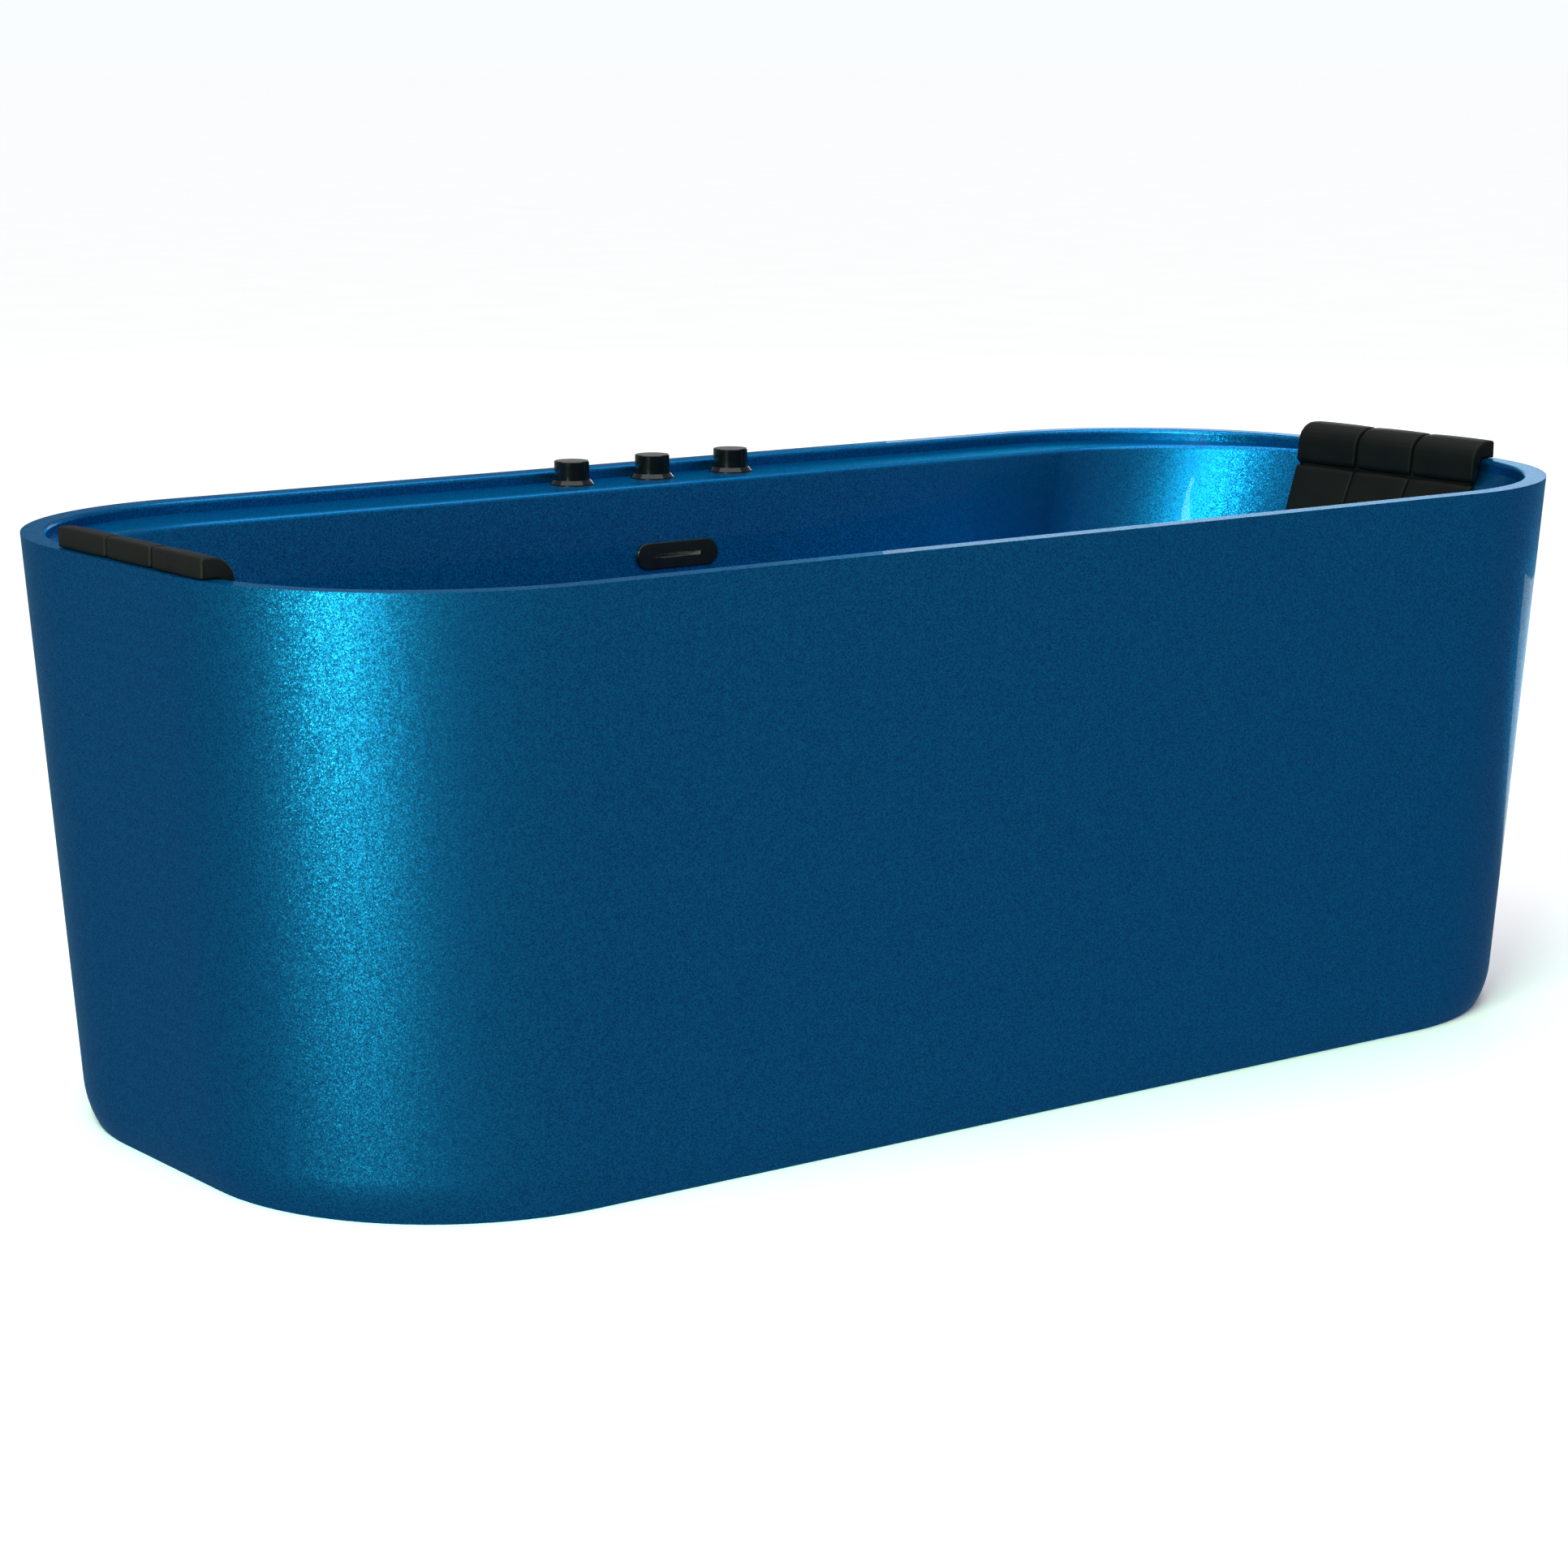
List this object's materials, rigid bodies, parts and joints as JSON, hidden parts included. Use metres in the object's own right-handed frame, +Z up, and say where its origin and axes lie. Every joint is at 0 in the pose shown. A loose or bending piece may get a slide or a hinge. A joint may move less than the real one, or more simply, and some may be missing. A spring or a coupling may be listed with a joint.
{
  "type": "hydromassage bathtub",
  "caption": "Freestanding hydromassage bath with drafted oval casing, control ledge, headrests, side jets, pump, click-clack waste and overflow.",
  "frame": {"origin": "centre of the footprint, on the floor", "axes": "+X along the length, +Y towards the side with the control ledge, +Z up"},
  "size_m": [1.7, 0.8, 0.6205],
  "materials": {
    "acrylic_blue": "metal-flake blue acrylic under clear gloss",
    "black_gloss": "gloss black",
    "headrest_foam": "satin black self-skinned foam",
    "galvanised_steel": "galvanised",
    "chipboard": "pressed board",
    "white_plastic": "moulded pipe plastic",
    "grey_hose": "flexible drain hose",
    "clear_vinyl": "translucent tube",
    "black_rubber": "soft black rubber",
    "motor_paint": "dark grey paint",
    "black_plastic": "glass-filled moulding",
    "bright_steel": "ground steel",
    "copper_winding": "enamelled winding"
  },
  "bodies": {
    "tub": {"air_pipes": "clear_vinyl", "air_regulator_a_base": "black_gloss", "air_regulator_a_valve": "white_plastic", "air_regulator_b_base": "black_gloss", "air_regulator_b_valve": "white_plastic", "back_air_hose": "clear_vinyl", "back_water_pipe": "white_plastic", "base_board": "chipboard", "bellows_housing": "white_plastic", "button_air_tube": "clear_vinyl", "button_bellows": "black_rubber", "cross_water_pipe": "white_plastic", "fan_cover": "motor_paint", "foot_nuts": "galvanised_steel", "foot_pads": "black_rubber", "foot_rods": "galvanised_steel", "frame_back_rail": "galvanised_steel", "frame_cross_bars": "galvanised_steel", "frame_front_rail": "galvanised_steel", "front_air_hose": "clear_vinyl", "front_water_pipe": "white_plastic", "inner_basin": "acrylic_blue", "jet_bezels": "black_gloss", "jet_bodies": "white_plastic", "jet_seals": "black_rubber", "ledge_nuts": "white_plastic", "motor_housing": "motor_paint", "motor_stator": "copper_winding", "outer_casing": "acrylic_blue", "overflow_body": "white_plastic", "overflow_cover": "black_gloss", "overflow_hose": "grey_hose", "pneumatic_button_base": "black_gloss", "pump_bracket": "galvanised_steel", "pump_outlet_pipe": "white_plastic", "pump_volute": "black_plastic", "suction_body": "white_plastic", "suction_grille": "black_gloss", "suction_pipe": "white_plastic", "terminal_box": "black_plastic", "waste_body": "white_plastic", "waste_flange": "black_gloss", "waste_outlet_pipe": "white_plastic", "waste_trap": "white_plastic"},
    "air_regulator_a": {"air_regulator_a_knob": "black_gloss"},
    "air_regulator_b": {"air_regulator_b_knob": "black_gloss"},
    "button": {"pneumatic_button_cap": "black_gloss"},
    "drain_plug": {"drain_plug": "black_gloss"},
    "headrest_left": {"headrest_left": "headrest_foam"},
    "headrest_right": {"headrest_right": "headrest_foam"},
    "pump_rotor": {"motor_rotor": "bright_steel", "pump_impeller": "black_plastic", "motor_fan": "black_plastic"},
    "front_nozzle_1": {"front_jet_nozzle_1": "black_gloss"},
    "front_nozzle_2": {"front_jet_nozzle_2": "black_gloss"},
    "front_nozzle_3": {"front_jet_nozzle_3": "black_gloss"},
    "back_nozzle_1": {"back_jet_nozzle_1": "black_gloss"},
    "back_nozzle_2": {"back_jet_nozzle_2": "black_gloss"},
    "back_nozzle_3": {"back_jet_nozzle_3": "black_gloss"}
  },
  "joints": [
    {"name": "regulator_a_turn", "type": "hinge", "parent": "tub", "child": "air_regulator_a", "pos_m": [-0.096, 0.348, 0.6], "axis": [0, 0, 1], "range_deg": [0, 180]},
    {"name": "regulator_b_turn", "type": "hinge", "parent": "tub", "child": "air_regulator_b", "pos_m": [0.014, 0.348, 0.6], "axis": [0, 0, 1], "range_deg": [0, 180]},
    {"name": "button_press", "type": "slide", "parent": "tub", "child": "button", "axis": [0, 0, -1], "range_m": [0, 0.003], "stiffness_N_per_m": 900, "springref_m": -0.002},
    {"name": "plug_lift", "type": "slide", "parent": "tub", "child": "drain_plug", "axis": [0, 0, 1], "range_m": [0, 0.009]},
    {"name": "headrest_left_lift", "type": "slide", "parent": "tub", "child": "headrest_left", "axis": [0, 0, 1], "range_m": [0, 0.06]},
    {"name": "headrest_right_lift", "type": "slide", "parent": "tub", "child": "headrest_right", "axis": [0, 0, 1], "range_m": [0, 0.06]},
    {"name": "pump_spin", "type": "hinge", "parent": "tub", "child": "pump_rotor", "pos_m": [0.715, 0, 0.085], "axis": [0, 1, 0], "continuous": true},
    {"name": "front_nozzle_1_turn", "type": "hinge", "parent": "tub", "child": "front_nozzle_1", "pos_m": [-0.42, -0.33326, 0.29], "axis": [0, 0.9903, 0.1392], "range_deg": [0, 90]},
    {"name": "front_nozzle_2_turn", "type": "hinge", "parent": "tub", "child": "front_nozzle_2", "pos_m": [0, -0.33326, 0.29], "axis": [0, 0.9903, 0.1392], "range_deg": [0, 90]},
    {"name": "front_nozzle_3_turn", "type": "hinge", "parent": "tub", "child": "front_nozzle_3", "pos_m": [0.42, -0.33326, 0.29], "axis": [0, 0.9903, 0.1392], "range_deg": [0, 90]},
    {"name": "back_nozzle_1_turn", "type": "hinge", "parent": "tub", "child": "back_nozzle_1", "pos_m": [-0.42, 0.25026, 0.29], "axis": [0, -0.9903, 0.1392], "range_deg": [0, 90]},
    {"name": "back_nozzle_2_turn", "type": "hinge", "parent": "tub", "child": "back_nozzle_2", "pos_m": [0, 0.25026, 0.29], "axis": [0, -0.9903, 0.1392], "range_deg": [0, 90]},
    {"name": "back_nozzle_3_turn", "type": "hinge", "parent": "tub", "child": "back_nozzle_3", "pos_m": [0.42, 0.25026, 0.29], "axis": [0, -0.9903, 0.1392], "range_deg": [0, 90]}
  ]
}
